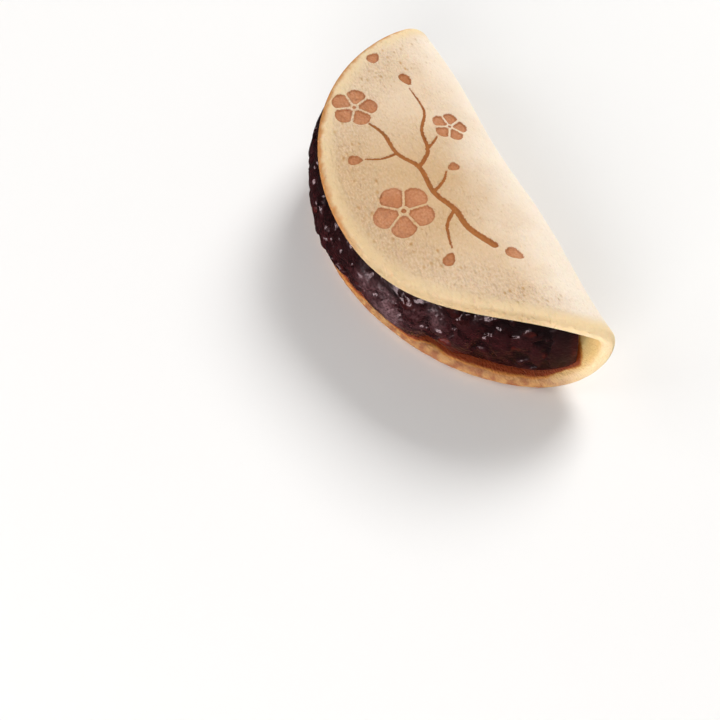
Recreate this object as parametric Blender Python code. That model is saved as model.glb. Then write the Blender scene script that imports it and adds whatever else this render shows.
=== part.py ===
"""Dorayaki: one round pancake folded over a chunky red bean filling, lying on its lower flap.

Metres, +Z up. X runs along the fold, the open side faces -Y, and the origin is the middle of the
bounding box at the base. A point of the flat pancake is given by u, along the fold line, and s, the
distance from the fold line over the outer skin: positive on the upper flap, negative on the lower.
Sizes that change along the fold are polynomials in u divided by the pancake's radius.
"""

import math
import random

import bmesh
import bpy
from mathutils import Vector, noise

MM = 0.001

# Pancake: flat round cake, thinner and rounded at its rim
CAKE_RADIUS = 60.0 * MM
CAKE_THICKNESS = 5.4 * MM
RIM_THICKNESS = 4.2 * MM
THINNING_STARTS = 0.55
RIM_ROUNDING = 2.6 * MM
# Unevenness of the rim: waves round it, size and phase
RIM_WAVES = ((2, 0.19 * MM, -0.15), (3, 0.87 * MM, 2.86), (7, 0.15 * MM, 0.40))

# Fold: the outer bend radii of both flaps, and how far the fold line lies from the middle
UPPER_BEND = (10.3 * MM, -3.07 * MM)
LOWER_BEND = (16.0 * MM, 4.1 * MM)
FOLD_OFFSET = (-1.31 * MM, 0.27 * MM)
FOLD_WAVE = 0.48 * MM
FOLD_WAVELENGTH = 57.0 * MM
FOLD_WAVE_CREST = 19.1 * MM

# Upper flap: its slope where the bend ends, and how fast it droops over the filling, per metre
FLAP_SLOPE = (0.359, 0.001, 0.166, 0.154)
FLAP_DROOP = (12.4, 8.8, 3.0)
FLAP_WAVE = 0.35 * MM
FLAP_WAVELENGTH = 30.0 * MM

# Filling: rows of angle round the open side, reach at its foot, and bulge at mid height
FILLING_EDGE = (
    (12.5, 56.6 * MM, 0.4 * MM),
    (30.0, 57.4 * MM, 0.6 * MM),
    (48.0, 57.4 * MM, 1.4 * MM),
    (55.0, 56.4 * MM, 2.2 * MM),
    (62.0, 58.5 * MM, 1.8 * MM),
    (80.0, 58.2 * MM, 2.4 * MM),
    (92.0, 58.8 * MM, 3.6 * MM),
    (104.0, 60.0 * MM, 1.8 * MM),
    (122.0, 60.0 * MM, 2.4 * MM),
    (136.0, 58.6 * MM, 1.6 * MM),
    (167.5, 56.6 * MM, 0.4 * MM),
)
FILLING_FOLD_LENGTH = 84.0 * MM
CLEARANCE = 0.35 * MM

# Beans in the filling's open side: domes of uneven size
BEAN_SEED = 11
BEAN_COLUMNS = 30
BEAN_ROWS = 3
BEAN_RADIUS = (2.9 * MM, 4.4 * MM)
BEAN_RELIEF = 1.6 * MM
FILLING_HEIGHT = 19.0 * MM

# Mesh density
CAKE_SEGMENTS = 40
RIM_SEGMENTS = 4
FILLING_SEGMENTS = (88, 8, 9)


def smoothstep(low, high, value):
    """0 below low, 1 above high, and a smooth step between them."""
    t = min(max((value - low) / (high - low), 0.0), 1.0)
    return t * t * (3.0 - 2.0 * t)


def polynomial(terms, x):
    """The value at x of the polynomial whose lowest term comes first."""
    return sum(term * x**power for power, term in enumerate(terms))


def cake_thickness(radius):
    """Thickness of the pancake at a distance from its middle."""
    thinning = smoothstep(THINNING_STARTS * CAKE_RADIUS, CAKE_RADIUS, radius)
    return CAKE_THICKNESS + (RIM_THICKNESS - CAKE_THICKNESS) * thinning


def rim_radius(angle):
    """Radius of the pancake, a little uneven round its rim."""
    return CAKE_RADIUS + sum(size * math.sin(count * angle + phase) for count, size, phase in RIM_WAVES)


def fold_wave(u, s):
    """How far the fold bulges out at u, fading out over both flaps."""
    fading = 1.0 - smoothstep(0.15 * CAKE_RADIUS, 0.5 * CAKE_RADIUS, abs(s))
    return FOLD_WAVE * math.cos(2.0 * math.pi * (u - FOLD_WAVE_CREST) / FOLD_WAVELENGTH) * fading


def flap_wave(u, s):
    """Slow unevenness of the upper flap, nothing at the fold."""
    place = Vector((u / FLAP_WAVELENGTH, s / FLAP_WAVELENGTH, 0.37))
    return FLAP_WAVE * noise.noise(place) * smoothstep(0.25 * CAKE_RADIUS, 0.5 * CAKE_RADIUS, s)


def folded(u, s, depth):
    """The place of the flat pancake's point (u, s), at a depth below its outer skin, once folded."""
    along = u / CAKE_RADIUS
    lower_bend = polynomial(LOWER_BEND, along)
    if s < 0.0:
        turn = min(-s / lower_bend, math.pi / 2)
        inward = lower_bend * (1.0 - math.cos(turn)) - s - lower_bend * turn + depth * math.cos(turn)
        height = lower_bend * (1.0 - math.sin(turn)) + depth * math.sin(turn)
        return Vector((u, fold_wave(u, s) - inward, height))
    upper_bend = polynomial(UPPER_BEND, along)
    droop = polynomial(FLAP_DROOP, along)
    turn = min(s / upper_bend, math.pi / 2 - polynomial(FLAP_SLOPE, along))
    bent = math.pi / 2 - turn
    angle = bent - droop * (s - upper_bend * turn)
    inward = upper_bend * (1.0 - math.cos(turn)) + (math.sin(bent) - math.sin(angle)) / droop
    height = lower_bend + upper_bend * math.sin(turn) + (math.cos(angle) - math.cos(bent)) / droop
    inward += depth * math.sin(angle)
    height += flap_wave(u, s) - depth * math.cos(angle)
    return Vector((u, fold_wave(u, s) - inward, height))


def off_fold(u, s):
    """Distance from the fold line of a point at s from the pancake's middle line."""
    return s + polynomial(FOLD_OFFSET, u / CAKE_RADIUS)


def material(name, colour, roughness):
    """A plain Principled material."""
    made = bpy.data.materials.new(name)
    made.use_nodes = True
    shader = made.node_tree.nodes["Principled BSDF"]
    shader.inputs["Base Color"].default_value = (*colour, 1.0)
    shader.inputs["Roughness"].default_value = roughness
    shader.inputs["Metallic"].default_value = 0.0
    return made


def finish(name, bm, finish_material):
    """Makes the bmesh an object with faces pointing outwards, shaded smooth."""
    bmesh.ops.remove_doubles(bm, verts=bm.verts, dist=0.01 * MM)
    bmesh.ops.recalc_face_normals(bm, faces=bm.faces)
    mesh = bpy.data.meshes.new(name)
    bm.to_mesh(mesh)
    bm.free()
    mesh.shade_smooth()
    mesh.materials.append(finish_material)
    made = bpy.data.objects.new(name, mesh)
    bpy.context.scene.collection.objects.link(made)
    return made


def square_to_disc(x, y):
    """Ring position from 0 to 1, and the place in the unit disc, of a point of the square from -1 to 1.

    Rings are square in the middle, so that rows follow the fold, and round towards the rim.
    """
    ring = max(abs(x), abs(y))
    if ring == 0.0:
        return 0.0, Vector((0.0, 0.0))
    if abs(x) >= abs(y):
        turn = math.pi / 4 * y / x
        on_circle = Vector((math.cos(turn), math.sin(turn))) * x
    else:
        turn = math.pi / 4 * x / y
        on_circle = Vector((math.sin(turn), math.cos(turn))) * y
    return ring, (Vector((x, y)) * math.pi / 4).lerp(on_circle, smoothstep(0.0, 0.8, ring))


def cake_skin(bm, outer):
    """One skin of the pancake, from its middle to halfway round its rim."""
    made = bmesh.ops.create_grid(bm, x_segments=CAKE_SEGMENTS, y_segments=CAKE_SEGMENTS, size=1.0)
    flat_share = 1.0 - 2.0 * RIM_SEGMENTS / CAKE_SEGMENTS
    for vertex in made["verts"]:
        x, y = vertex.co.x, vertex.co.y
        if abs(y) < flat_share:
            # Rows lie closer together along the fold, where the cake bends most
            y *= 0.7 + 0.3 * (y / flat_share) ** 2
        ring, place = square_to_disc(x, y)
        angle = math.atan2(place.y, place.x)
        rounding = max(ring - flat_share, 0.0) / (1.0 - flat_share) * math.pi / 2
        radius = min(place.length / flat_share, 1.0) * (rim_radius(angle) - RIM_ROUNDING)
        thickness = cake_thickness(radius)
        depth = 0.5 * thickness * (1.0 - math.cos(rounding))
        radius += RIM_ROUNDING * math.sin(rounding)
        if not outer:
            depth = thickness - depth
        u = radius * math.cos(angle)
        vertex.co = folded(u, off_fold(u, radius * math.sin(angle)), depth)


def build_pancake():
    """The pancake: an outer and an inner skin, joined along the rim and folded."""
    bm = bmesh.new()
    cake_skin(bm, outer=True)
    cake_skin(bm, outer=False)
    return finish("pancake", bm, material("pancake_skin", (0.76, 0.57, 0.36), 0.75))


def scattered_beans():
    """Distance round the open side, height and radius of each bean, in rows with jitter."""
    draw = random.Random(BEAN_SEED)
    beans = []
    for column in range(BEAN_COLUMNS):
        for row in range(BEAN_ROWS):
            place = (column + 0.5 * (row % 2) + draw.uniform(-0.25, 0.25)) / BEAN_COLUMNS
            height = (row + 0.5 + draw.uniform(-0.3, 0.3)) / BEAN_ROWS
            radius = draw.uniform(*BEAN_RADIUS)
            beans.append((math.pi * CAKE_RADIUS * place, FILLING_HEIGHT * height, radius))
    return beans


def bean_relief(beans, angle, rise):
    """Height of the beans' domes at a place of the open side, from 0 to 1."""
    x, y = CAKE_RADIUS * angle, FILLING_HEIGHT * rise
    return max(1.0 - ((x - bx) ** 2 + (y - by) ** 2) / radius**2 for bx, by, radius in beans)


def filling_reach(beans, angle, rise):
    """How far the filling reaches from the pancake's middle on the open side."""
    degrees = math.degrees(angle)
    rows = zip(FILLING_EDGE, FILLING_EDGE[1:])
    low, high = next((low, high) for low, high in rows if degrees <= high[0] or high is FILLING_EDGE[-1])
    t = smoothstep(low[0], high[0], degrees)
    foot, bulge = (low[term] + (high[term] - low[term]) * t for term in (1, 2))
    lumps = BEAN_RELIEF * (max(bean_relief(beans, angle, rise), 0.0) - 0.45)
    edge = smoothstep(0.0, 0.18, min(rise, 1.0 - rise))
    return foot + bulge * 4.0 * rise * (1.0 - rise) + lumps * edge


def filling_point(beans, along, across, rise):
    """A point of the filling: along from -1 to 1, across from the fold, 0, to the open side, 1."""
    end = math.radians(FILLING_EDGE[0][0])
    angle = math.pi / 2 - along * (math.pi / 2 - end)
    reach = filling_reach(beans, angle, rise)
    fold_u = 0.5 * FILLING_FOLD_LENGTH * along
    u = fold_u * (1.0 - across) + reach * math.cos(angle) * across
    s = reach * math.sin(angle) * across
    depth = cake_thickness(math.hypot(u, s)) + CLEARANCE
    lower, upper = off_fold(u, -s), off_fold(u, s)
    if across == 0.0:
        lower = upper = 0.0
    return folded(u, lower, depth).lerp(folded(u, upper, depth), rise)


def build_filling():
    """The bean filling: a wedge that fills the fold, with lumps on its open side."""
    along_segments, across_segments, rise_segments = FILLING_SEGMENTS
    bm = bmesh.new()
    bmesh.ops.create_grid(bm, x_segments=along_segments, y_segments=across_segments, size=1.0)
    raised = bmesh.ops.extrude_face_region(bm, geom=bm.faces[:], use_keep_orig=True)
    tops = [item for item in raised["geom"] if isinstance(item, bmesh.types.BMVert)]
    bmesh.ops.translate(bm, verts=tops, vec=(0.0, 0.0, 1.0))
    uprights = [edge for edge in bm.edges if abs(edge.verts[0].co.z - edge.verts[1].co.z) > 0.5]
    bmesh.ops.subdivide_edges(bm, edges=uprights, cuts=rise_segments - 1, use_grid_fill=True)
    beans = scattered_beans()
    for vertex in bm.verts:
        # Rows lie closer together in the fold and at the open side
        across = 0.5 - 0.5 * math.cos(math.pi * (0.5 - 0.5 * vertex.co.y))
        vertex.co = filling_point(beans, vertex.co.x, round(across, 6), vertex.co.z)
    return finish("bean_filling", bm, material("bean_paste", (0.045, 0.014, 0.016), 0.35))


def stand_on_origin(pieces):
    """Moves the pieces so that the origin is the middle of their box at the base."""
    corners = [vertex.co for piece in pieces for vertex in piece.data.vertices]
    low = Vector(min(co[axis] for co in corners) for axis in range(3))
    high = Vector(max(co[axis] for co in corners) for axis in range(3))
    middle = (low + high) / 2
    shift = Vector((-middle.x, -middle.y, -low.z))
    for piece in pieces:
        for vertex in piece.data.vertices:
            vertex.co += shift


def main():
    """Builds the pancake and the filling in an empty scene."""
    for old in list(bpy.data.objects):
        bpy.data.objects.remove(old)
    stand_on_origin([build_pancake(), build_filling()])


main()
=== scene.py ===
"""Looks of a dorayaki: a round pancake folded over chunky red bean paste, on a pale studio floor.

Metres, +Z up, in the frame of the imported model. A point of the flat pancake is given by u, along the
fold line, and s, the distance from the fold line over the outer skin: positive on the upper flap,
negative on the lower. Sizes that change along the fold are polynomials in u divided by the radius.
"""

import logging
import math
import random
from dataclasses import dataclass, field
from enum import Enum

import bmesh
import bpy
from mathutils import Matrix, Vector, kdtree, noise


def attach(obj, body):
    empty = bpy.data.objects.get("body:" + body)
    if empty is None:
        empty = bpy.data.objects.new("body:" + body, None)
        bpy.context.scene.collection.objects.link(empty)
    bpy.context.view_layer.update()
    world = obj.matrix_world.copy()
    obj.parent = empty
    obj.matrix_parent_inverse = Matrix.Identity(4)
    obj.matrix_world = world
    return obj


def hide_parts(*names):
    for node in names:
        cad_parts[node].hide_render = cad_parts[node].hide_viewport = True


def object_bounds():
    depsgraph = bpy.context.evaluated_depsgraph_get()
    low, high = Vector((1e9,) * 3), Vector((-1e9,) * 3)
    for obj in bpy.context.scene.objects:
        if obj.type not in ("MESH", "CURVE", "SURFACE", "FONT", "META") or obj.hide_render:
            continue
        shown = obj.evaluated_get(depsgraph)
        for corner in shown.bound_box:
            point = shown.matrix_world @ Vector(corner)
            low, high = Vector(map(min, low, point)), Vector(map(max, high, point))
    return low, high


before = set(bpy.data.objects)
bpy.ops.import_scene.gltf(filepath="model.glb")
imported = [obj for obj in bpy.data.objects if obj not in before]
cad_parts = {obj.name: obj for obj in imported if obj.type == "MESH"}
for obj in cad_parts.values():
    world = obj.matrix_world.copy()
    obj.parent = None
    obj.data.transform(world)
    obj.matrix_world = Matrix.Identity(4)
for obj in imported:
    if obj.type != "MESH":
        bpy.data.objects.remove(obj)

MM = 0.001
CAD_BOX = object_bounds()
LOG = logging.getLogger("dorayaki")

Colour = tuple[int, int, int]
Inputs = dict[str | int, object]


def smoothstep(low: float, high: float, value: float) -> float:
    """A smooth step.

    Args:
        low: The value at which the step starts.
        high: The value at which it ends, which may be the lower one.
        value: Where to read it.

    Returns:
        0 at low, 1 at high, and a smooth rise between them.
    """
    t = min(max((value - low) / (high - low), 0.0), 1.0)
    return t * t * (3.0 - 2.0 * t)


def polynomial(terms: tuple[float, ...], x: float) -> float:
    """The value at x of the polynomial whose lowest term comes first."""
    return sum(term * x**power for power, term in enumerate(terms))


def linear(colour: Colour) -> tuple[float, float, float, float]:
    """A display colour, 0 to 255, as the linear values that shaders take."""
    parts = [part / 255.0 for part in colour]
    return (*(p / 12.92 if p <= 0.04045 else ((p + 0.055) / 1.055) ** 2.4 for p in parts), 1.0)


def even_noise(place: Vector) -> float:
    """Smooth noise from 0 to 1, mostly near its middle."""
    return 0.5 + 0.5 * noise.noise(place)


def as_mesh(name: str, bm: bmesh.types.BMesh) -> bpy.types.Mesh:
    """Makes a mesh of a bmesh.

    Args:
        name: The mesh's name.
        bm: The shape. It is freed.

    Returns:
        The mesh.
    """
    mesh = bpy.data.meshes.new(name)
    bm.to_mesh(mesh)
    bm.free()
    return mesh


def in_scene(name: str, data: bpy.types.ID) -> bpy.types.Object:
    """Puts something into the scene.

    Args:
        name: The object's name.
        data: Its mesh, light or camera.

    Returns:
        The new object, at the origin.
    """
    made = bpy.data.objects.new(name, data)
    bpy.context.scene.collection.objects.link(made)
    return made


class Skin(Enum):
    """The two faces of the pancake. The value is the height that each has while it is still a flat grid."""

    OUTER = 0.0
    INNER = 1.0

    @classmethod
    def at(cls, height: float) -> "Skin":
        """The skin whose flat grid lies at a height."""
        return cls.INNER if height > 0.5 else cls.OUTER


@dataclass(frozen=True)
class CakeForm:
    """The pancake's form, flat and folded, from the same values as the CAD model.

    A rim wave has a count, a height and a phase, the fold's wave a height, a length and a crest, and the
    flap's wave a height and a length. The bends, the offset, the slope and the droop are polynomials.
    """

    radius: float = 60.0 * MM
    thickness: float = 5.4 * MM
    rim_thickness: float = 4.2 * MM
    thinning_starts: float = 0.55
    rim_rounding: float = 2.6 * MM
    rim_waves: tuple[tuple[int, float, float], ...] = (
        (2, 0.19 * MM, -0.15),
        (3, 0.87 * MM, 2.86),
        (7, 0.15 * MM, 0.40),
    )
    upper_bend: tuple[float, ...] = (10.3 * MM, -3.07 * MM)
    lower_bend: tuple[float, ...] = (16.0 * MM, 4.1 * MM)
    fold_offset: tuple[float, ...] = (-1.31 * MM, 0.27 * MM)
    fold_wave: tuple[float, float, float] = (0.48 * MM, 57.0 * MM, 19.1 * MM)
    flap_slope: tuple[float, ...] = (0.359, 0.001, 0.166, 0.154)
    flap_droop: tuple[float, ...] = (12.4, 8.8, 3.0)
    flap_wave: tuple[float, float] = (0.35 * MM, 30.0 * MM)
    to_frame: tuple[float, float, float] = (-0.28782 * MM, 27.19822 * MM, 0.0)

    def thickness_at(self, radius: float) -> float:
        """Thickness of the pancake at a distance from its middle."""
        thinning = smoothstep(self.thinning_starts * self.radius, self.radius, radius)
        return self.thickness + (self.rim_thickness - self.thickness) * thinning

    def rim_at(self, angle: float) -> float:
        """Radius of the pancake, a little uneven round its rim."""
        waves = sum(size * math.sin(count * angle + phase) for count, size, phase in self.rim_waves)
        return self.radius + waves

    def ripple(self, u: float, s: float) -> float:
        """How far the fold bulges out, fading out over both flaps.

        Args:
            u: Place along the fold.
            s: Distance from the fold line.

        Returns:
            The bulge, negative in a hollow of the wave.
        """
        height, length, crest = self.fold_wave
        fading = 1.0 - smoothstep(0.15 * self.radius, 0.5 * self.radius, abs(s))
        return height * math.cos(2.0 * math.pi * (u - crest) / length) * fading

    def unevenness(self, u: float, s: float) -> float:
        """Slow unevenness of the upper flap, nothing at the fold.

        Args:
            u: Place along the fold.
            s: Distance from the fold line.

        Returns:
            How much higher the flap lies.
        """
        height, length = self.flap_wave
        fading = smoothstep(0.25 * self.radius, 0.5 * self.radius, s)
        return height * noise.noise(Vector((u / length, s / length, 0.37))) * fading

    def off_fold(self, u: float, s: float) -> float:
        """Distance from the fold line of a point at s from the pancake's middle line."""
        return s + polynomial(self.fold_offset, u / self.radius)

    def folded(self, u: float, s: float, depth: float) -> Vector:
        """The place in the frame of a point of the flat pancake.

        Args:
            u: Place along the fold.
            s: Distance from the fold line, negative on the lower flap.
            depth: How far the point lies below the outer skin.

        Returns:
            Where the point lies once the pancake is folded.
        """
        along = u / self.radius
        lower_bend = polynomial(self.lower_bend, along)
        if s < 0.0:
            turn = min(-s / lower_bend, math.pi / 2)
            inward = lower_bend * (1.0 - math.cos(turn)) - s - lower_bend * turn + depth * math.cos(turn)
            height = lower_bend * (1.0 - math.sin(turn)) + depth * math.sin(turn)
        else:
            upper_bend = polynomial(self.upper_bend, along)
            droop = polynomial(self.flap_droop, along)
            turn = min(s / upper_bend, math.pi / 2 - polynomial(self.flap_slope, along))
            bent = math.pi / 2 - turn
            angle = bent - droop * (s - upper_bend * turn)
            inward = upper_bend * (1.0 - math.cos(turn)) + (math.sin(bent) - math.sin(angle)) / droop
            height = lower_bend + upper_bend * math.sin(turn) + (math.cos(angle) - math.cos(bent)) / droop
            inward += depth * math.sin(angle)
            height += self.unevenness(u, s) - depth * math.cos(angle)
        return Vector((u, self.ripple(u, s) - inward, height)) + Vector(self.to_frame)


@dataclass(frozen=True)
class FillingForm:
    """The bean filling's form between the flaps, from the same values as the CAD model.

    A row of its edge has an angle in degrees round the open side, the reach at the foot and the bulge.
    """

    cake: CakeForm
    edge: tuple[tuple[float, float, float], ...] = (
        (12.5, 56.6 * MM, 0.4 * MM),
        (30.0, 57.4 * MM, 0.6 * MM),
        (48.0, 57.4 * MM, 1.4 * MM),
        (55.0, 56.4 * MM, 2.2 * MM),
        (62.0, 58.5 * MM, 1.8 * MM),
        (80.0, 58.2 * MM, 2.4 * MM),
        (92.0, 58.8 * MM, 3.6 * MM),
        (104.0, 60.0 * MM, 1.8 * MM),
        (122.0, 60.0 * MM, 2.4 * MM),
        (136.0, 58.6 * MM, 1.6 * MM),
        (167.5, 56.6 * MM, 0.4 * MM),
    )
    fold_length: float = 84.0 * MM
    clearance: float = 0.35 * MM

    def ends(self) -> tuple[float, float]:
        """The angles of the filling's two ends round the open side."""
        return math.radians(self.edge[0][0]), math.radians(self.edge[-1][0])

    def foot_and_bulge(self, angle: float) -> tuple[float, float]:
        """The filling's outline on the lower flap.

        Args:
            angle: Angle round the open side.

        Returns:
            Reach at the foot, and how much further the filling bulges at mid height.
        """
        degrees = math.degrees(angle)
        rows = zip(self.edge, self.edge[1:])
        low, high = next((low, high) for low, high in rows if degrees <= high[0] or high is self.edge[-1])
        t = smoothstep(low[0], high[0], degrees)
        return low[1] + (high[1] - low[1]) * t, low[2] + (high[2] - low[2]) * t

    def reach(self, angle: float, rise: float) -> float:
        """How far the filling reaches from the pancake's middle, with a smooth open side."""
        foot, bulge = self.foot_and_bulge(angle)
        return foot + bulge * 4.0 * rise * (1.0 - rise)

    def place(self, angle: float, across: float, rise: float) -> Vector:
        """A point of the filling.

        Args:
            angle: Angle round the open side, from the +X end.
            across: 0 at the fold and 1 at the open side. A lump may go past 1.
            rise: 0 on the lower flap and 1 under the upper one.

        Returns:
            The point's place in the frame.
        """
        along = (math.pi / 2 - angle) / (math.pi / 2 - self.ends()[0])
        reach = self.reach(angle, rise)
        u = 0.5 * self.fold_length * along * (1.0 - across) + reach * math.cos(angle) * across
        s = reach * math.sin(angle) * across
        depth = self.cake.thickness_at(math.hypot(u, s)) + self.clearance
        lower = self.cake.folded(u, min(self.cake.off_fold(u, -s), 0.0), depth)
        upper = self.cake.folded(u, max(self.cake.off_fold(u, s), 0.0), depth)
        return lower.lerp(upper, rise)

    def beside(self, u: float, s: float) -> float:
        """How far a point of a flap lies outside the filling.

        Args:
            u: Place along the fold.
            s: Distance from the fold.

        Returns:
            The distance, negative under the filling where its open side is near.
        """
        angle, radius = math.atan2(abs(s), u), math.hypot(u, s)
        first, last = self.ends()
        corner_angle = min(max(angle, first), last)
        foot = self.foot_and_bulge(corner_angle)[0]
        if first <= angle <= last:
            return radius - foot
        corner = Vector((math.cos(corner_angle), math.sin(corner_angle))) * foot
        start = Vector((math.copysign(0.5 * self.fold_length, u), 0.0))
        side = (corner - start).normalized()
        away = Vector((u, abs(s))) - start
        past = max(away.dot(side) - (corner - start).length, 0.0)
        return math.hypot(abs(away.x * side.y - away.y * side.x), past)


@dataclass(frozen=True)
class Blossom:
    """A plum blossom: five round petals, narrow gaps and a small middle."""

    middle: tuple[float, float]
    radius: float
    turn: float
    tone: float = 1.0
    half_gap: float = 0.30 * MM

    def distance(self, place: Vector) -> float:
        """How far a point of the flap lies from the blossom's outline.

        Args:
            place: The point.

        Returns:
            The distance, negative inside a petal or the middle.
        """
        away = place - Vector(self.middle)
        length, step = away.length, 2.0 * math.pi / 5
        if length > 1.5 * self.radius:
            return length - self.radius
        heading = math.atan2(away.y, away.x) - self.turn
        local = heading - step * round(heading / step)
        petal = math.hypot(length * math.cos(local) - 0.58 * self.radius, length * math.sin(local))
        petal -= 0.42 * self.radius
        gap = self.half_gap - length * math.sin(step / 2 - abs(local))
        ring = 0.19 * self.radius - length
        return min(max(petal, gap, ring), length - 0.09 * self.radius)


@dataclass(frozen=True)
class Bud:
    """A bud or a loose petal: an egg shape, wider at its far end."""

    middle: tuple[float, float]
    length: float
    width: float
    turn: float
    tone: float = 0.7

    def distance(self, place: Vector) -> float:
        """How far a point of the flap lies from the egg's outline.

        Args:
            place: The point.

        Returns:
            About the distance, negative inside.
        """
        away = Matrix.Rotation(-self.turn, 2) @ (place - Vector(self.middle))
        share = away.x / self.length
        width = self.width * (1.0 + 0.35 * max(min(2.0 * share, 1.0), -1.0))
        return (math.hypot(2.0 * share, 2.0 * away.y / width) - 1.0) * 0.5 * min(self.length, width)


@dataclass(frozen=True)
class Stroke:
    """A brush stroke through some points, each with its own width. Its distances count up to a limit."""

    points: tuple[tuple[float, float, float], ...]
    low: Vector
    high: Vector
    limit: float = 3.0 * MM
    tone: float = 0.0

    def distance(self, place: Vector) -> float:
        """How far a point of the flap lies from the stroke's outline.

        Args:
            place: The point.

        Returns:
            The distance, negative inside, and the limit for a point that is further away.
        """
        nearest = self.limit
        if min(*(place - self.low), *(self.high - place)) < -self.limit:
            return nearest
        for (ax, ay, aw), (bx, by, bw) in zip(self.points, self.points[1:]):
            start, side = Vector((ax, ay)), Vector((bx - ax, by - ay))
            t = min(max((place - start).dot(side) / side.length_squared, 0.0), 1.0)
            nearest = min(nearest, (place - start - side * t).length - 0.5 * (aw + (bw - aw) * t))
        return nearest


def between(before: float, start: float, end: float, after: float, t: float) -> float:
    """A smooth course through four even steps.

    Args:
        before: The value one step before the start.
        start: The value at the start.
        end: The value at the end.
        after: The value one step after the end.
        t: 0 at the start and 1 at the end.

    Returns:
        The value there, in metres for values in millimetres.
    """
    square = 2 * before - 5 * start + 4 * end - after
    cube = 3 * start - before - 3 * end + after
    return 0.5 * MM * (2 * start + (end - before) * t + square * t**2 + cube * t**3)


def brush(points: list[tuple[float, float, float]], steps: int = 5) -> Stroke:
    """A stroke that bends smoothly through its points.

    Args:
        points: Place and width of each point, in millimetres.
        steps: How many straight bits lie between two of them.

    Returns:
        The stroke, in metres.
    """
    bent = [points[0], *points, points[-1]]
    traced = []
    for four in zip(bent, bent[1:], bent[2:], bent[3:]):
        for step in range(steps):
            traced.append(tuple(between(*values, step / steps) for values in zip(*four)))
    traced.append(tuple(MM * part for part in points[-1]))
    low, high = (Vector(pick(point[axis] for point in traced) for axis in (0, 1)) for pick in (min, max))
    return Stroke(tuple(traced), low, high)


@dataclass(frozen=True)
class BurntDesign:
    """A blossoming plum branch, burnt into the upper flap."""

    limit: float = 2.0 * MM
    recess: float = 0.5 * MM
    starts: float = 8.0 * MM
    motifs: tuple[Blossom | Bud | Stroke, ...] = field(
        default_factory=lambda: (
            Blossom((9.0 * MM, 42.5 * MM), 8.2 * MM, 0.35),
            Blossom((-27.0 * MM, 43.0 * MM), 6.4 * MM, 1.1),
            Blossom((-15.5 * MM, 19.2 * MM), 5.2 * MM, -0.2),
            Bud((-34.5 * MM, 25.0 * MM), 4.6 * MM, 3.2 * MM, 2.9),
            Bud((-10.5 * MM, 48.6 * MM), 4.0 * MM, 2.9 * MM, 1.9),
            Bud((27.5 * MM, 37.5 * MM), 4.4 * MM, 3.0 * MM, 0.7),
            Bud((-1.0 * MM, 24.5 * MM), 3.6 * MM, 2.7 * MM, -1.9),
            Bud((31.0 * MM, 21.0 * MM), 5.2 * MM, 3.4 * MM, 2.4, tone=1.0),
            Bud((-44.0 * MM, 31.0 * MM), 4.8 * MM, 3.2 * MM, 0.9, tone=1.0),
            brush([(27.0, 25.0, 2.1), (20.0, 29.0, 1.8), (13.0, 30.0, 1.7), (6.0, 33.0, 1.5),
                   (-3.0, 33.5, 1.4), (-9.0, 37.5, 1.2), (-16.0, 38.5, 1.1), (-20.5, 41.0, 0.7)]),
            brush([(-3.0, 33.5, 1.2), (-8.0, 29.0, 1.1), (-15.0, 28.0, 1.0), (-22.0, 24.5, 0.8),
                   (-31.0, 25.2, 0.5)]),
            brush([(-8.4, 29.2, 1.0), (-10.0, 27.0, 0.8), (-12.2, 24.6, 0.6)]),
            brush([(13.0, 30.0, 1.1), (17.5, 34.0, 0.9), (24.5, 35.6, 0.5)]),
            brush([(6.0, 33.0, 1.0), (3.0, 29.0, 0.8), (0.0, 27.0, 0.5)]),
            brush([(-9.0, 37.5, 0.9), (-8.5, 42.0, 0.7), (-9.8, 46.0, 0.5)]),
        )
    )

    def read(self, u: float, s: float) -> tuple[float, float]:
        """What is burnt at a point of the flap.

        Args:
            u: Place along the fold.
            s: Distance from the fold line.

        Returns:
            Distance from the nearest outline, negative inside it, and that mark's tone: 0 for a dark
            stroke and 1 for a light petal.
        """
        if s < self.starts:
            return self.limit, 0.0
        place = Vector((u, s))
        distance, tone = min((motif.distance(place), motif.tone) for motif in self.motifs)
        return min(distance, self.limit), tone


@dataclass(frozen=True)
class Wire:
    """A value in a node tree that is reckoned with like a number: each sum places a node."""

    desk: "NodeDesk"
    socket: bpy.types.NodeSocket

    def __add__(self, other: "Wire | float") -> "Wire":
        """This value and another added up."""
        return self.desk.math("ADD", self, other)

    def __sub__(self, other: "Wire | float") -> "Wire":
        """This value less another."""
        return self.desk.math("SUBTRACT", self, other)

    def __rsub__(self, other: float) -> "Wire":
        """A number less this value."""
        return self.desk.math("SUBTRACT", other, self)

    def __mul__(self, other: "Wire | float") -> "Wire":
        """This value times another."""
        return self.desk.math("MULTIPLY", self, other)

    def __truediv__(self, other: "Wire | float") -> "Wire":
        """This value divided by another."""
        return self.desk.math("DIVIDE", self, other)

    def __abs__(self) -> "Wire":
        """This value without its sign."""
        return self.desk.math("ABSOLUTE", self)

    def or_more(self, other: "Wire | float") -> "Wire":
        """The larger of this value and another."""
        return self.desk.math("MAXIMUM", self, other)

    def ramp(self, low: float, high: float, bottom: float = 0.0, top: float = 1.0) -> "Wire":
        """A smooth step.

        Args:
            low: Where the step starts.
            high: Where it ends, which may be the lower one.
            bottom: The result up to the start.
            top: The result past the end.

        Returns:
            The step's height for this value.
        """
        inputs = {"Value": self, "From Min": low, "From Max": high, "To Min": bottom, "To Max": top}
        return self.desk.result("ShaderNodeMapRange", inputs, interpolation_type="SMOOTHSTEP")


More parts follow.
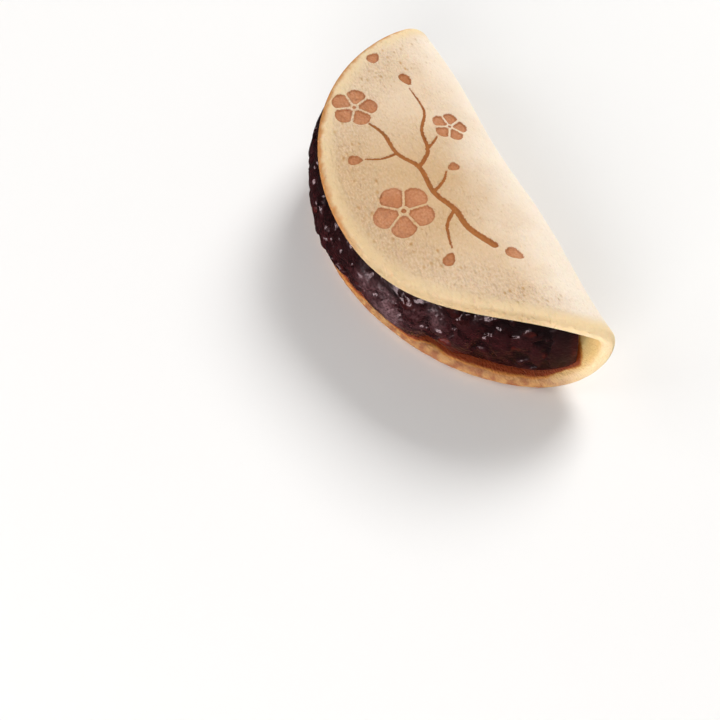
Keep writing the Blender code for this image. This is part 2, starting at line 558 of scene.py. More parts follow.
class NodeDesk:
    """Places nodes in a tree and links them."""

    def __init__(self, tree: bpy.types.NodeTree) -> None:
        """Works on one tree."""
        self.tree = tree

    def add(self, kind: str, inputs: Inputs | None = None, **settings: object) -> bpy.types.Node:
        """Adds a node.

        Args:
            kind: The node's type.
            inputs: What each input gets, a wire or a plain value, by name or number.
            settings: The node's own properties.

        Returns:
            The new node.
        """
        node = self.tree.nodes.new(kind)
        for name, value in settings.items():
            setattr(node, name, value)
        for key, value in (inputs or {}).items():
            self.feed(node.inputs[key], value)
        return node

    def feed(self, target: bpy.types.NodeSocket, value: object) -> None:
        """Leads a wire to an input, or sets the input's value.

        Args:
            target: The input.
            value: The wire, or the plain value.
        """
        if isinstance(value, Wire):
            self.tree.links.new(value.socket, target)
        else:
            target.default_value = value

    def result(self, kind: str, inputs: Inputs, output: str | int = 0, **settings: object) -> Wire:
        """Adds a node and takes one of its outputs.

        Args:
            kind: The node's type.
            inputs: What each input gets.
            output: The name or number of the output.
            settings: The node's own properties.

        Returns:
            The output.
        """
        return Wire(self, self.add(kind, inputs, **settings).outputs[output])

    def math(self, operation: str, first: object, second: object = 0.0, clamp: bool = False) -> Wire:
        """The result of one sum on two values, kept between 0 and 1 if it is to be clamped."""
        return self.result("ShaderNodeMath", {0: first, 1: second}, operation=operation, use_clamp=clamp)

    def blend(self, factor: Wire, first: Wire | Colour, second: Wire | Colour) -> Wire:
        """A mix of two colours.

        Args:
            factor: The share of the second one, 0 to 1.
            first: A wire or a display colour.
            second: The same.

        Returns:
            The mixed colour.
        """
        first, second = (linear(value) if isinstance(value, tuple) else value for value in (first, second))
        return self.result("ShaderNodeMix", {0: factor, 6: first, 7: second}, 2, data_type="RGBA")

    def attribute(self, name: str, output: str = "Fac") -> Wire:
        """A value that the piece's mesh carries."""
        return self.result("ShaderNodeAttribute", {}, output, attribute_name=name)

    def place(self) -> Wire:
        """The place on the piece itself."""
        return self.result("ShaderNodeTexCoord", {}, "Object")

    def split(self, place: Wire) -> list[Wire]:
        """The X, Y and Z of a place."""
        return [Wire(self, part) for part in self.add("ShaderNodeSeparateXYZ", {0: place}).outputs]

    def noise(self, place: Wire, scale: Wire | float, detail: Wire | float = 2.0) -> Wire:
        """Cloudy noise, 0 to 1."""
        return self.result("ShaderNodeTexNoise", {"Vector": place, "Scale": scale, "Detail": detail})

    def bump(self, height: Wire, distance: float) -> Wire:
        """The normal of a surface with a relief whose height 1 stands for a distance in metres."""
        return self.result("ShaderNodeBump", {"Height": height, "Distance": distance, "Strength": 1.0})


class Effects:
    """The effects that several materials share, as node groups built once."""

    def __init__(self) -> None:
        """Builds each group."""
        self.patches = self._patches()
        self.pits = self._pits()
        self.grain = self._grain()

    def patchy(self, place: Wire, scale: float, detail: float, sharpness: float) -> Wire:
        """Soft uneven patches, 0 to 1."""
        inputs = {"Vector": place, "Scale": scale, "Detail": detail, "Sharpness": sharpness}
        return place.desk.result("ShaderNodeGroup", inputs, node_tree=self.patches)

    def pitted(self, place: Wire, scale: float, width: float, amount: Wire | float) -> Wire:
        """Small round pits in loose groups, 1 in the middle of a pit and 0 between them."""
        inputs = {"Vector": place, "Scale": scale, "Width": width, "Amount": amount}
        return place.desk.result("ShaderNodeGroup", inputs, node_tree=self.pits)

    def grainy(self, place: Wire, scale: float, fineness: float, detail: float) -> Wire:
        """Fine uneven height."""
        inputs = {"Vector": place, "Scale": scale, "Fineness": fineness, "Detail": detail}
        return place.desk.result("ShaderNodeGroup", inputs, node_tree=self.grain)

    @staticmethod
    def _group(
        name: str, values: dict[str, float], output: str
    ) -> tuple[NodeDesk, bpy.types.NodeSocket, list[Wire]]:
        """A new group that takes a place and some values.

        Args:
            name: The group's name.
            values: Default of each value input.
            output: The name of its one output.

        Returns:
            The desk to build it on, its output socket, and the place and the values in their order.
        """
        tree = bpy.data.node_groups.new(name, "ShaderNodeTree")
        tree.interface.new_socket("Vector", in_out="INPUT", socket_type="NodeSocketVector")
        for label, value in values.items():
            given = tree.interface.new_socket(label, in_out="INPUT", socket_type="NodeSocketFloat")
            given.default_value = value
        tree.interface.new_socket(output, in_out="OUTPUT", socket_type="NodeSocketFloat")
        desk = NodeDesk(tree)
        wires = [Wire(desk, socket) for socket in desk.add("NodeGroupInput").outputs if socket.name]
        return desk, desk.add("NodeGroupOutput").inputs[0], wires

    def _patches(self) -> bpy.types.NodeTree:
        """Noise with its contrast raised by the sharpness.

        Returns:
            The group.
        """
        values = {"Scale": 100.0, "Detail": 3.0, "Sharpness": 1.0}
        desk, out, (place, scale, detail, sharpness) = self._group("soft_patches", values, "Patches")
        spread = (desk.noise(place, scale, detail) - 0.5) * (sharpness * 2.2)
        desk.feed(out, desk.math("ADD", spread, 0.5, clamp=True))
        return desk.tree

    def _pits(self) -> bpy.types.NodeTree:
        """Voronoi cells, of which noise and chance make some into pits of their own sizes.

        Returns:
            The group.
        """
        values = {"Scale": 900.0, "Width": 0.32, "Amount": 0.5}
        desk, out, (place, scale, width, amount) = self._group("scattered_pits", values, "Pits")
        cells = desk.add("ShaderNodeTexVoronoi", {"Vector": place, "Scale": scale}).outputs
        chance = desk.result("ShaderNodeSeparateColor", {0: Wire(desk, cells["Color"])})
        level = desk.noise(place, scale / 6.0) * 1.6 + amount
        size = width * (level - chance).ramp(0.2, 0.9)
        desk.feed(out, (Wire(desk, cells["Distance"]) / size.or_more(0.001)).ramp(1.0, 0.1))
        return desk.tree

    def _grain(self) -> bpy.types.NodeTree:
        """A coarse and a fine layer of noise.

        Returns:
            The group.
        """
        values = {"Scale": 1500.0, "Fineness": 3.0, "Detail": 4.0}
        desk, out, (place, scale, fineness, detail) = self._group("fine_grain", values, "Height")
        desk.feed(out, desk.noise(place, scale, detail) + desk.noise(place, scale * fineness, 1.0) * 0.35)
        return desk.tree


def principled(name: str) -> tuple[bpy.types.Material, NodeDesk, bpy.types.Node]:
    """Starts a material.

    Args:
        name: The material's name.

    Returns:
        The material, the desk for its nodes, and its shader.
    """
    made = bpy.data.materials.new(name)
    made.use_nodes = True
    return made, NodeDesk(made.node_tree), made.node_tree.nodes["Principled BSDF"]


@dataclass(frozen=True)
class CakeSurface:
    """What the cake's colours and relief are worked out from, each a value that changes over the skin.

    Lengths along and across the flat pancake are in metres, and the distance from the rim is in millimetres.
    """

    flat: Wire
    stretched: Wire
    along: Wire
    across: Wire
    from_fold: Wire
    rim: Wire
    inner: Wire
    pitted: Wire
    patches: Wire
    coarse: Wire
    fine_bumps: Wire
    pores: Wire


@dataclass(frozen=True)
class GriddledCake:
    """Finish of the pancake: fine-pored beige skin, cream rim, yellow crumb inside, burnt marks, and painted
    light and shade.

    A band has the distances from the rim in millimetres between which a colour comes in, and a reach has
    such places along or across the flat pancake.
    """

    skin: Colour = (215, 182, 144)
    skin_light: Colour = (232, 202, 166)
    # The pale skin colour is painted light, where the skin is made paler near the fold and the -X end.
    skin_pale_lit: Colour = (251, 236, 217)
    skin_tan: Colour = (201, 166, 124)
    # The pore colour is the pits' browned tone and also painted shade, in the pits and in the fine relief's
    # hollows.
    pore_brown_and_shade: Colour = (186, 136, 70)
    rim: Colour = (231, 205, 160)
    # Painted shade along the rim's outermost edge, where it rounds under.
    rim_edge_shade: Colour = (200, 171, 127)
    cream: Colour = (244, 216, 168)
    golden: Colour = (198, 126, 56)
    crumb: Colour = (242, 208, 140)
    crumb_tan: Colour = (228, 182, 116)
    # The toasted border's colours are its toasted tone, darkened further as painted shade.
    toast_and_shade: Colour = (190, 140, 84)
    toast_dark_and_shade: Colour = (152, 88, 50)
    stroke: Colour = (172, 106, 54)
    petal: Colour = (207, 147, 108)
    petal_dark: Colour = (178, 108, 66)
    # The outline colour is partly a burnt edge and partly painted shade on the recess wall.
    outline: Colour = (158, 90, 44)
    soaked_light: Colour = (202, 134, 62)
    soaked: Colour = (146, 62, 22)
    rim_band: tuple[float, float] = (8.4, 4.0)
    rim_shade_band: tuple[float, float] = (2.4, 0.6)
    end_band: tuple[float, float] = (6.0, 2.0)
    end_reach: tuple[float, float] = (30.0 * MM, 12.0 * MM)
    toast_band: tuple[float, float] = (13.0, 6.0)
    toast_reach: tuple[float, float] = (-12.0 * MM, -30.0 * MM)
    golden_band: tuple[float, float] = (3.6, 1.0)
    golden_along: tuple[float, float] = (20.0 * MM, 2.0 * MM)
    golden_across: tuple[float, float] = (6.0 * MM, 20.0 * MM)
    tan_middle: float = 3.0 * MM
    tan_reach: tuple[float, float] = (38.0 * MM, 8.0 * MM)
    # Reach of the painted light that makes the skin paler near the fold.
    lit_fold_reach: tuple[float, float] = (36.0 * MM, 10.0 * MM)
    mark_edge: tuple[float, float] = (0.10, -0.12)
    outline_and_shade_band: tuple[float, float] = (-0.75, -0.05)
    stretch: tuple[float, float, float] = (0.62, 1.0, 1.0)
    relief: float = 1.12 * MM
    roughness: float = 0.74
    specular: float = 0.12
    softness: float = 0.26
    soft_radius: tuple[float, float, float] = (1.0, 0.6, 0.3)
    soft_scale: float = 3.0 * MM

    def material(self, effects: Effects) -> bpy.types.Material:
        """Builds the material from values that the pancake's mesh carries.

        Args:
            effects: The shared node groups.

        Returns:
            The material.
        """
        made, desk, shader = principled("griddled_cake")
        surface = self._surface(desk, effects)
        colour = self._toasted_and_shaded(effects, surface, self._skin(surface))
        colour, moist = self._soaked(effects, surface, colour)
        colour, burnt = self._burnt(effects, surface, colour)
        desk.feed(shader.inputs["Base Color"], colour)
        desk.feed(shader.inputs["Normal"], desk.bump(self._relief(effects, surface), self.relief))
        desk.feed(shader.inputs["Roughness"], self.roughness - moist * 0.08 + burnt * 0.06)
        shader.inputs["Subsurface Weight"].default_value = self.softness
        shader.inputs["Subsurface Radius"].default_value = self.soft_radius
        shader.inputs["Subsurface Scale"].default_value = self.soft_scale
        shader.inputs["Specular IOR Level"].default_value = self.specular
        return made

    def _surface(self, desk: NodeDesk, effects: Effects) -> CakeSurface:
        """Reads the mesh's values and lays out the patches, the fine bumps and the pores.

        Args:
            desk: Where the nodes go.
            effects: The shared node groups.

        Returns:
            All that the other methods work from.
        """
        flat = desk.attribute("flat", "Vector")
        inner, pitted = desk.attribute("inner"), desk.attribute("pitted")
        along, across, _ = desk.split(flat)
        stretched = desk.result("ShaderNodeMapping", {"Vector": flat, "Scale": self.stretch})
        patches = effects.patchy(flat, 55.0, 3.0, 0.9)
        from_fold = abs(across) + patches * (9.0 * MM)
        coarse = (effects.patchy(flat, 90.0, 2.0, 1.4) * 0.55).or_more(pitted)
        coarse = coarse * from_fold.ramp(10.0 * MM, 34.0 * MM, 0.25, 1.0) * (1.0 - inner * 0.75)
        fine_pores = effects.pitted(stretched, 1000.0, 0.50, -0.05)
        large_pores = effects.pitted(stretched, 620.0, 0.40, pitted - 0.5)
        return CakeSurface(
            flat=flat,
            stretched=stretched,
            along=along,
            across=across,
            from_fold=from_fold,
            rim=desk.attribute("from_rim"),
            inner=inner,
            pitted=pitted,
            patches=patches,
            coarse=coarse,
            fine_bumps=effects.patchy(stretched, 1900.0, 2.0, 1.6),
            pores=(fine_pores * 0.45).or_more(large_pores) * from_fold.ramp(12.0 * MM, 30.0 * MM, 0.3, 1.0),
        )

    def _skin(self, on: CakeSurface) -> Wire:
        """The colour of the plain skin, the rim and the crumb inside, with painted light and shade on the
        skin and the rim.

        Args:
            on: The cake's surface.

        Returns:
            The colour without toast, syrup and marks.
        """
        desk = on.flat.desk
        middle = abs(on.along - self.tan_middle).ramp(*self.tan_reach)
        tanned = (on.pitted * 0.1).or_more(middle * 0.55)
        # Painted light: the skin is made paler near the fold and towards the -X end, where the light falls
        # brightest, and a little paler towards the +X end.
        left = on.along.ramp(-2.0 * MM, -30.0 * MM, 0.0, 0.36)
        left = left + on.along.ramp(-38.0 * MM, -56.0 * MM, 0.0, 0.36)
        right = on.along.ramp(18.0 * MM, 36.0 * MM, 0.0, 0.14)
        pale = left.or_more(right).or_more(on.from_fold.ramp(*self.lit_fold_reach))
        bright = on.pitted * on.along.ramp(-14.0 * MM, 2.0 * MM, 0.0, 0.14)
        # Painted shade and highlight: the fine bumps' hollows are darkened towards the pore colour and their
        # tops lightened, most in the coarse band.
        painted_valley_shade = on.fine_bumps * (on.coarse * 0.26 + 0.06)
        painted_bump_highlight = on.fine_bumps.ramp(0.5, 0.0) * (on.coarse * 0.22 + 0.06)
        colour = desk.blend(on.patches, self.skin_light, self.skin)
        colour = desk.blend(tanned, colour, self.skin_tan)
        colour = desk.blend(desk.math("ADD", pale, bright, clamp=True), colour, self.skin_pale_lit)
        colour = desk.blend(painted_valley_shade, colour, self.pore_brown_and_shade)
        colour = desk.blend(painted_bump_highlight, colour, self.skin_light)
        # The pits are darkened: partly their own browned tone, partly painted shade in the pits.
        colour = desk.blend(on.pores * 0.66, colour, self.pore_brown_and_shade)
        colour = desk.blend((on.rim + on.patches * 1.6).ramp(*self.rim_band) * 0.7, colour, self.rim)
        near_end = on.rim.ramp(*self.end_band) * abs(on.across).ramp(*self.end_reach)
        # Painted shade: the rim's outermost edge, where it rounds under, is darkened, except near the ends
        # of the fold.
        edge = on.rim.ramp(*self.rim_shade_band, 0.0, 0.75) * (1.0 - near_end)
        colour = desk.blend(edge, colour, self.rim_edge_shade)
        colour = desk.blend(near_end * 0.7, colour, self.cream)
        return desk.blend(on.inner, colour, desk.blend(on.fine_bumps * 0.3, self.crumb, self.crumb_tan))

    def _toasted_and_shaded(self, effects: Effects, on: CakeSurface, colour: Wire) -> Wire:
        """The lower flap's toasted border, darkened further as painted shade, and the golden line round the
        upper flap's rim.

        Args:
            effects: The shared node groups.
            on: The cake's surface.
            colour: The cake's colour without them.

        Returns:
            The colour with them.
        """
        desk = colour.desk
        mottle = effects.patchy(on.flat, 360.0, 4.0, 2.4)
        # The lower flap's border: a toasted tone, darkened further as painted shade.
        border = on.across.ramp(*self.toast_reach) * (on.rim + mottle * 3.0).ramp(*self.toast_band)
        colour = desk.blend(border * 0.9, colour, desk.blend(mottle, self.toast_and_shade, self.toast_dark_and_shade))
        side = on.along.ramp(*self.golden_along) * on.across.ramp(*self.golden_across)
        return desk.blend((on.rim + mottle).ramp(*self.golden_band) * side * 0.85, colour, self.golden)

    def _soaked(self, effects: Effects, on: CakeSurface, colour: Wire) -> tuple[Wire, Wire]:
        """Syrup soaked into the crumb beside the filling.

        Args:
            effects: The shared node groups.
            on: The cake's surface.
            colour: The dry cake's colour.

        Returns:
            The colour with the stain, and how moist each place is.
        """
        desk = colour.desk
        ragged = effects.patchy(on.flat, 260.0, 3.0, 1.5)
        width = effects.patchy(on.flat, 60.0, 1.0, 2.0) * 2.2 + ragged
        moist = (desk.attribute("beside_paste") / (width + 0.5)).ramp(1.0, 0.1)
        colour = desk.blend(moist.ramp(0.0, 0.6), colour, self.soaked_light)
        return desk.blend(moist.ramp(0.4, 1.0), colour, self.soaked), moist

    def _burnt(self, effects: Effects, on: CakeSurface, colour: Wire) -> tuple[Wire, Wire]:
        """The burnt marks' colours: dark strokes, rosy petals, and a darker line along each edge, partly
        burnt and partly painted shade.

        Args:
            effects: The shared node groups.
            on: The cake's surface.
            colour: The colour round the marks.

        Returns:
            The colour with the marks, and 1 where the cake is burnt.
        """
        desk = colour.desk
        edge = desk.attribute("mark") + effects.patchy(on.flat, 1500.0, 2.0, 1.2) * 0.22 - 0.11
        speckle = effects.patchy(on.flat, 1500.0, 3.0, 1.8)
        cloud = effects.patchy(on.flat, 130.0, 2.0, 1.6)
        petal = desk.blend(speckle * 0.5, self.petal, self.petal_dark)
        petal = desk.blend(cloud * 0.5, petal, self.petal_dark)
        inside = desk.blend(desk.attribute("tone"), self.stroke, petal)
        # The darker line along each mark's edge is partly burnt and partly painted shade on the pressed-in
        # recess wall.
        inside = desk.blend(edge.ramp(*self.outline_and_shade_band) * (cloud * 0.5 + 0.3), inside, self.outline)
        burnt = edge.ramp(*self.mark_edge)
        return desk.blend(burnt * 0.96, colour, inside), burnt

    @staticmethod
    def _relief(effects: Effects, on: CakeSurface) -> Wire:
        """The skin's fine relief, calmer inside the fold and on the lower flap.

        Args:
            effects: The shared node groups.
            on: The cake's surface.

        Returns:
            The height.
        """
        least = on.from_fold.ramp(12.0 * MM, 34.0 * MM, 0.16, 0.35)
        calm = (on.inner * 0.75).or_more(on.across.ramp(-4.0 * MM, -24.0 * MM, 0.0, 0.6))
        height = effects.grainy(on.stretched, 700.0, 2.0, 1.5) * (on.coarse * 0.85 + least) * (1.0 - calm)
        return height - on.fine_bumps * 0.1 - on.pores * 0.2


@dataclass(frozen=True)
class BeanPaste:
    """Finish of the filling: moist dark purple-brown mash with beans, a few of them red and clear, with
    painted shade and sheen.
    """

    mash: Colour = (54, 17, 20)
    mash_dark: Colour = (25, 6, 7)
    # Colour of the painted shade in the paste's hollows and under the upper flap.
    hollow: Colour = (12, 4, 5)
    bean: Colour = (58, 21, 23)
    bean_red: Colour = (112, 32, 16)
    # The glaze colour is the smooth red-brown end's tone, darkened further as painted shade under the upper
    # flap.
    glaze_and_shade: Colour = (40, 14, 14)
    # Colour of the painted sheen on the paste.
    painted_sheen: Colour = (122, 90, 94)
    relief: float = 0.62 * MM
    roughness: float = 0.54
    wet_roughness: float = 0.23
    glaze_roughness: float = 0.20
    specular: float = 0.16
    cluster_shift: tuple[float, float, float] = (20.0 * MM, 5.0 * MM, 0.0)
    sheen_band_from: tuple[float, float] = (7.0 * MM, 18.0 * MM)
    sheen_band_until: tuple[float, float] = (43.0 * MM, 30.0 * MM)
    shaded_rise: tuple[float, float] = (0.55, 0.9)

    def material(self, effects: Effects) -> bpy.types.Material:
        """Builds the material from values that the filling's mesh carries.

        Args:
            effects: The shared node groups.

        Returns:
            The material.
        """
        made, desk, shader = principled("moist_bean_paste")
        place = desk.place()
        along = desk.split(place)[0]
        whole, red, glaze_and_shade, hollow, rise = map(desk.attribute, ("bean", "red", "glaze_and_shade", "hollow", "rise"))
        patches = effects.patchy(place, 320.0, 4.0, 1.6)
        flecks = effects.patchy(place, 1500.0, 3.0, 2.2)
        under = rise.ramp(*self.shaded_rise)
        colour = desk.blend(patches, self.mash_dark, self.mash)
        colour = desk.blend(whole * flecks, colour, self.bean)
        # The smooth glazed +X end, darkened also as painted shade under the upper flap.
        colour = desk.blend(glaze_and_shade * 0.8, colour, self.glaze_and_shade)
        colour = desk.blend(red * patches.ramp(0.9, 0.2, 0.35, 1.0), colour, self.bean_red)
        # Painted shade: the hollows between lumps and the top of the filling under the upper flap are
        # darkened.
        colour = desk.blend(hollow * 0.7, colour, self.hollow)
        colour = desk.blend(under * 0.6, colour, self.hollow)

        # Painted sheen: in a band along the open side, dry clusters of paste are lightened to a finely
        # flecked mauve, none under the upper flap or on red beans.
        sheen_band = along.ramp(*self.sheen_band_from) * along.ramp(*self.sheen_band_until)
        moved = desk.result("ShaderNodeMapping", {"Vector": place, "Location": self.cluster_shift})
        clusters = effects.patchy(moved, 110.0, 1.0, 2.2)
        dry = (1.0 - glaze_and_shade) * ((sheen_band * 0.75 + 0.25) * clusters).or_more(patches * 0.3)
        painted_sheen = dry * sheen_band * under.ramp(1.0, 0.2) * (flecks * 0.75 + 0.2) * red.ramp(0.35, 0.0)
        desk.feed(shader.inputs["Base Color"], desk.blend(painted_sheen, colour, self.painted_sheen))

        dull = dry * (flecks * 0.15 + 0.85) * (self.roughness - self.wet_roughness)
        desk.feed(shader.inputs["Roughness"], dull + glaze_and_shade * self.glaze_roughness + self.wet_roughness)
        height = effects.grainy(place, 420.0, 2.4, 2.2) * (1.0 - glaze_and_shade * 0.55)
        height = height * along.ramp(-10.0 * MM, 10.0 * MM, 0.6, 1.0)
        desk.feed(shader.inputs["Normal"], desk.bump(height, self.relief))
        shader.inputs["Specular IOR Level"].default_value = self.specular
        return made


def as_piece(name: str, mesh: bpy.types.Mesh, finish: bpy.types.Material) -> bpy.types.Object:
    """A smooth-shaded object at the origin.

    Args:
        name: The object's name.
        mesh: Its mesh, already in its place in the frame.
        finish: Its one material.

    Returns:
        The object, linked to the scene.
    """
    mesh.shade_smooth()
    mesh.materials.clear()
    mesh.materials.append(finish)
    return in_scene(name, mesh)


@dataclass
class Pancake:
    """The folded pancake: an outer and an inner skin joined along the rim, with the design pressed in.

    A creased place has a place along the fold, a distance from it and a size. The finer part of the outer
    grid starts at fine_from, in the grid's own units from -1 to 1.
    """

    form: CakeForm
    filling: FillingForm
    design: BurntDesign
    finish: GriddledCake
    segments: int = 120
    rim_share: float = 0.1
    fine_from: float = -0.04
    fine_cuts: int = 2
    merge_distance: float = 0.01 * MM
    swell: float = 0.16 * MM
    swell_length: float = 9.0 * MM
    fine_swell_share: float = 0.3
    fine_swell_length: float = 2.4 * MM
    pit_depth: float = 0.17 * MM
    pit_spacing: float = 1.9 * MM
    pit_width: float = 0.22
    pit_groups: float = 14.0 * MM
    lower_pitted: float = 0.3
    crease_depth: float = 0.20 * MM
    crease_size: tuple[float, float] = (6.0 * MM, 0.9 * MM)
    creased: tuple[tuple[float, float, float], ...] = (
        (-12.0 * MM, 35.0 * MM, 10.0 * MM),
        (42.0 * MM, 24.0 * MM, 12.0 * MM),
        (-30.0 * MM, 26.0 * MM, 9.0 * MM),
        (50.0 * MM, 15.0 * MM, 9.0 * MM),
    )
    notches: float = 0.45 * MM
    notch_lengths: tuple[float, float] = (5.5 * MM, 2.2 * MM)
    inset: float = 0.02 * MM
    inner_shift: float = 0.2
    pressed_edge: tuple[float, float] = (0.22 * MM, -0.40 * MM)

    def build(self, effects: Effects) -> bpy.types.Object:
        """Makes the pancake and puts it in the place of its CAD solid.

        Args:
            effects: The shared node groups.

        Returns:
            The finished piece.
        """
        bm = bmesh.new()
        self._grids(bm)
        self._fold(bm)
        bmesh.ops.remove_doubles(bm, verts=bm.verts, dist=self.merge_distance)
        bmesh.ops.recalc_face_normals(bm, faces=bm.faces)
        made = as_piece("folded_cake", as_mesh("folded_cake", bm), self.finish.material(effects))
        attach(made, "root")
        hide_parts("pancake")
        return made

    def _grids(self, bm: bmesh.types.BMesh) -> None:
        """Two flat grids, one for each skin, finer on the upper flap's outer side and along its rim.

        Args:
            bm: Takes the grids.
        """
        for skin in Skin:
            made = bmesh.ops.create_grid(bm, x_segments=self.segments, y_segments=self.segments, size=1.0)
            bmesh.ops.translate(bm, verts=made["verts"], vec=(0.0, 0.0, skin.value))
        fine = [
            edge
            for edge in bm.edges
            if min(vertex.co.y for vertex in edge.verts) > self.fine_from
            and (Skin.at(edge.verts[0].co.z) is Skin.OUTER or edge.is_boundary)
        ]
        bmesh.ops.subdivide_edges(bm, edges=fine, cuts=self.fine_cuts, use_grid_fill=True)

    @staticmethod
    def _to_disc(x: float, y: float) -> tuple[float, Vector]:
        """Rounds the square from -1 to 1 into a disc, hardly at its middle and fully at its rim.

        Args:
            x: A point of the square.
            y: The same.

        Returns:
            The point's ring, 0 to 1, and its place in the unit disc.
        """
        ring = max(abs(x), abs(y))
        if ring == 0.0:
            return 0.0, Vector((0.0, 0.0))
        if abs(x) >= abs(y):
            turn = math.pi / 4 * y / x
            on_circle = Vector((math.cos(turn), math.sin(turn))) * x
        else:
            turn = math.pi / 4 * x / y
            on_circle = Vector((math.sin(turn), math.cos(turn))) * y
        return ring, (Vector((x, y)) * math.pi / 4).lerp(on_circle, smoothstep(0.0, 0.8, ring))

    @staticmethod
    def _pitted(from_rim: float) -> float:
        """How coarsely pitted the skin is: most in a band inside the rim."""
        return 0.9 * smoothstep(2.2 * MM, 5.5 * MM, from_rim) * smoothstep(21.0 * MM, 9.0 * MM, from_rim)

    def _crease(self, u: float, s: float) -> float:
        """How deep the faint creases are.

        Args:
            u: Place along the fold.
            s: Distance from the fold line.

        Returns:
            A share of the full depth, 0 away from the creased places.
        """
        away = ((math.hypot(u - mid_u, s - mid_s), size) for mid_u, mid_s, size in self.creased)
        creased = max(smoothstep(size, 0.2 * size, distance) for distance, size in away)
        if creased > 0.0:
            length, width = self.crease_size
            creased *= even_noise(Vector((u / length, (s + 0.18 * u) / width, 3.1)))
        return creased

    def _texture(self, u: float, s: float, pitted: float) -> float:
        """How far the real skin lies below the smooth one.

        Args:
            u: Place along the fold.
            s: Distance from the fold line.
            pitted: How coarsely pitted the skin is there.

        Returns:
            The depth from slow swells, scattered pits and faint creases.
        """
        place = Vector((u, s, 0.0))
        swell = self.swell * even_noise(place / self.swell_length)
        fine_swell = self.fine_swell_share * self.swell
        swell += fine_swell * even_noise(place / self.fine_swell_length)
        near, points = noise.voronoi(place / self.pit_spacing, exponent=2.0)
        chance = even_noise(points[0] * 7.3) + 0.3 * noise.noise(place / self.pit_groups) + 0.3 * pitted
        width = self.pit_width * smoothstep(0.55, 0.85, chance)
        pit = self.pit_depth * (0.4 + 0.6 * pitted)
        pit *= smoothstep(1.0, 0.3, near[0] / width) if width > 0.01 else 0.0
        return swell + pit + self.crease_depth * self._crease(u, s)

    def _notched(self, rim: float, angle: float) -> float:
        """Takes small notches out of the lower flap's rim.

        Args:
            rim: The even rim's radius.
            angle: Where on the rim.

        Returns:
            The radius there.
        """
        edge = Vector((math.cos(angle), math.sin(angle), 0.0)) * rim
        long, short = self.notch_lengths
        uneven = 1.0 + 0.6 * noise.noise(edge / long) + 0.6 * noise.noise(edge / short)
        return rim - self.notches * max(uneven, 0.0) * 0.5 * smoothstep(-0.1, -0.4, math.sin(angle))

    def _fold(self, bm: bmesh.types.BMesh) -> None:
        """Moves the grids' points onto the folded cake, and notes what the material reads.

        Args:
            bm: The two flat grids.
        """
        names = ("mark", "tone", "from_rim", "inner", "pitted", "beside_paste")
        layers = {name: bm.verts.layers.float.new(name) for name in names}
        flat_layer = bm.verts.layers.float_vector.new("flat")
        flat_share = 1.0 - self.rim_share
        for vertex in bm.verts:
            x, y, height = vertex.co
            inner = Skin.at(height) is Skin.INNER
            ring, place = self._to_disc(x, y)
            angle = math.atan2(place.y, place.x)
            rounding = max(ring - flat_share, 0.0) / self.rim_share * math.pi / 2
            rim = self._notched(self.form.rim_at(angle) - self.inset, angle)
            radius = min(place.length / flat_share, 1.0) * (rim - self.form.rim_rounding)
            thickness = self.form.thickness_at(radius)
            depth = 0.5 * thickness * (1.0 - math.cos(rounding))
            radius += self.form.rim_rounding * math.sin(rounding)
            if inner:
                depth = thickness - depth
            u, across = radius * math.cos(angle), radius * math.sin(angle)
            s = self.form.off_fold(u, across)
            mark, tone = (self.design.limit, 0.0) if inner else self.design.read(u, s)
            sunk = self.design.recess * smoothstep(*self.pressed_edge, mark)
            pitted = self._pitted(rim - radius) if s > 0.0 else self.lower_pitted
            sunk += self._texture(u, s + (self.inner_shift if inner else 0.0), pitted) * math.cos(rounding)
            vertex.co = self.form.folded(u, s, depth - sunk if inner else depth + sunk)
            vertex[flat_layer] = (u, s, depth)
            vertex[layers["mark"]] = mark / MM
            vertex[layers["tone"]] = tone
            vertex[layers["from_rim"]] = (rim - radius) / MM + 1.2 * (1.0 - rounding / (math.pi / 2))
            vertex[layers["pitted"]] = pitted
            vertex[layers["inner"]] = smoothstep(0.25 * math.pi, 0.0, rounding) if inner else 0.0
            round_rim = 2.5 * (1.0 - math.cos(rounding)) if inner else 2.5 + 6.5 * math.cos(rounding)
            vertex[layers["beside_paste"]] = max(self.filling.beside(u, across) / MM, -1.0) + round_rim


@dataclass(frozen=True)
class Bean:
    """One bean or piece of bean, in the filling laid out straight: place, half axes and colour."""

    middle: Vector
    axes: Vector
    turn: Matrix
    red: float = 0.0

    def matrix(self) -> Matrix:
        """Turns a unit ball into the bean."""
        return Matrix.Translation(self.middle) @ self.turn.to_4x4() @ Matrix.Diagonal((*self.axes, 1.0))

    def depth(self, place: Vector) -> float:
        """Distance from the bean's middle, 1 on its surface."""
        local = self.turn.transposed() @ (place - self.middle)
        return Vector((local.x / self.axes.x, local.y / self.axes.y, local.z / self.axes.z)).length


